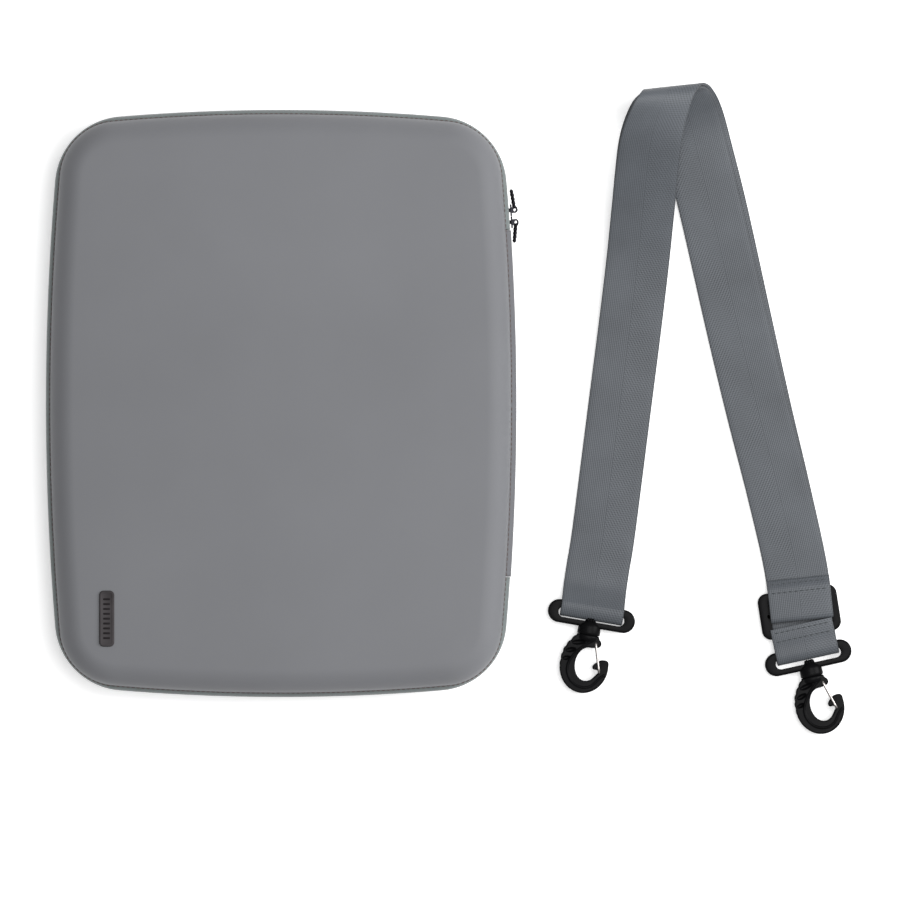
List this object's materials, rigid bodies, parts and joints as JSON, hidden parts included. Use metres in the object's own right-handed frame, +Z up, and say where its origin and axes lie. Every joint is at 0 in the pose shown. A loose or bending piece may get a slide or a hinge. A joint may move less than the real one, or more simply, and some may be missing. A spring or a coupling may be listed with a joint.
{
  "type": "portfolio case",
  "caption": "Hard-shell portfolio case with rounded bowed sides, a zipper on three sides, a fabric spine, and a detached webbing shoulder strap with swivel hooks lying beside it.",
  "frame": {"origin": "centre of the case's flat back face, on which it lies", "axes": "+X towards the spine side and the loose strap, +Y along the case's long side, +Z up through the lid"},
  "size_m": [0.4837, 0.3907, 0.0515],
  "materials": {
    "shell": "fine-grained coated fabric moulded over foam, matte with a soft sheen",
    "gusset": "the shell's coated fabric, unpadded",
    "band": "close woven zipper tape",
    "lining": "brushed knit lining",
    "mesh": "open nylon mesh",
    "elastic": "ribbed elastic",
    "coil": "nylon zipper coil",
    "gunmetal": "dark plated zinc",
    "badge": "black nickel plate with a raised border",
    "d_ring": "nickel-plated wire",
    "webbing": "grey polyester webbing, ribbed and twill stripes",
    "black_plastic": "moulded black acetal",
    "gate_wire": "stainless spring wire"
  },
  "bodies": {
    "root": {"rear_shell": "shell", "rear_lining": "lining", "rear_binding": "band", "rear_zipper_tape": "band", "rear_zipper_coil": "coil", "zipper_bottom_stop": "gunmetal", "spine_gusset": "gusset", "d_ring_tab_top": "webbing", "d_ring_tab_bottom": "webbing", "base_elastic_band": "elastic"},
    "lid": {"front_shell": "shell", "front_lining": "lining", "front_binding": "band", "front_zipper_tape": "band", "front_zipper_coil": "coil", "badge": "badge", "lid_pocket": "mesh", "lid_pocket_binding": "elastic"},
    "slider_upper": {"zipper_slider_upper": "gunmetal"},
    "slider_lower": {"zipper_slider_lower": "gunmetal"},
    "pull_upper": {"zipper_pull_upper": "gunmetal"},
    "pull_lower": {"zipper_pull_lower": "gunmetal"},
    "ring_top": {"d_ring_top": "d_ring"},
    "ring_bottom": {"d_ring_bottom": "d_ring"},
    "strap": {"strap_webbing": "webbing", "hook_a_loop": "black_plastic", "hook_b_loop": "black_plastic"},
    "adjuster": {"strap_adjuster": "black_plastic", "strap_tail": "webbing"},
    "swivel_a": {"hook_a_body": "black_plastic"},
    "gate_a": {"hook_a_gate": "gate_wire"},
    "swivel_b": {"hook_b_body": "black_plastic"},
    "gate_b": {"hook_b_gate": "gate_wire"}
  },
  "joints": [
    {"name": "lid_hinge", "type": "hinge", "parent": "root", "child": "lid", "pos_m": [0.143, 0, 0.025], "axis": [0, 1, 0], "range_deg": [0, 110]},
    {"name": "slider_upper_slide", "type": "slide", "parent": "root", "child": "slider_upper", "axis": [-0.0716, 0.9974, 0], "range_m": [0, 0.01]},
    {"name": "slider_lower_slide", "type": "slide", "parent": "root", "child": "slider_lower", "axis": [-0.0671, 0.9977, 0], "range_m": [0, 0.01]},
    {"name": "pull_upper_hinge", "type": "hinge", "parent": "slider_upper", "child": "pull_upper", "pos_m": [0.14024, 0.11606, 0.025], "axis": [0, 0, -1], "range_deg": [0, 90]},
    {"name": "pull_lower_hinge", "type": "hinge", "parent": "slider_lower", "child": "pull_lower", "pos_m": [0.14074, 0.10884, 0.025], "axis": [0, 0, 1], "range_deg": [0, 90]},
    {"name": "ring_top_hinge", "type": "hinge", "parent": "root", "child": "ring_top", "pos_m": [0, 0.1739, 0.013], "axis": [1, 0, 0], "range_deg": [0, 100]},
    {"name": "ring_bottom_hinge", "type": "hinge", "parent": "root", "child": "ring_bottom", "pos_m": [0, -0.1739, 0.013], "axis": [-1, 0, 0], "range_deg": [0, 100]},
    {"name": "strap_slide", "type": "slide", "parent": "root", "child": "strap", "axis": [1, 0, 0], "range_m": [0, 0.06]},
    {"name": "strap_adjust", "type": "slide", "parent": "strap", "child": "adjuster", "axis": [-0.1547, 0.988, 0], "range_m": [0, 0.05]},
    {"name": "hook_a_swivel", "type": "hinge", "parent": "strap", "child": "swivel_a", "pos_m": [0.1865, -0.1278, 0.006], "axis": [0.1685, 0.9857, 0], "continuous": true},
    {"name": "hook_a_gate_hinge", "type": "hinge", "parent": "swivel_a", "child": "gate_a", "pos_m": [0.18893, -0.14445, 0.006], "axis": [0, 0, -1], "range_deg": [0, 28], "stiffness_Nm_per_rad": 0.02, "springref_deg": -11.46},
    {"name": "hook_b_swivel", "type": "hinge", "parent": "strap", "child": "swivel_b", "pos_m": [0.3169, -0.1529, 0.006], "axis": [-0.213, 0.977, 0], "continuous": true},
    {"name": "hook_b_gate_hinge", "type": "hinge", "parent": "swivel_b", "child": "gate_b", "pos_m": [0.32539, -0.16742, 0.006], "axis": [0, 0, -1], "range_deg": [0, 28], "stiffness_Nm_per_rad": 0.02, "springref_deg": -11.46}
  ],
  "couplings": [
    {"joint": "slider_lower_slide", "follows": "slider_upper_slide", "ratio": 1}
  ]
}
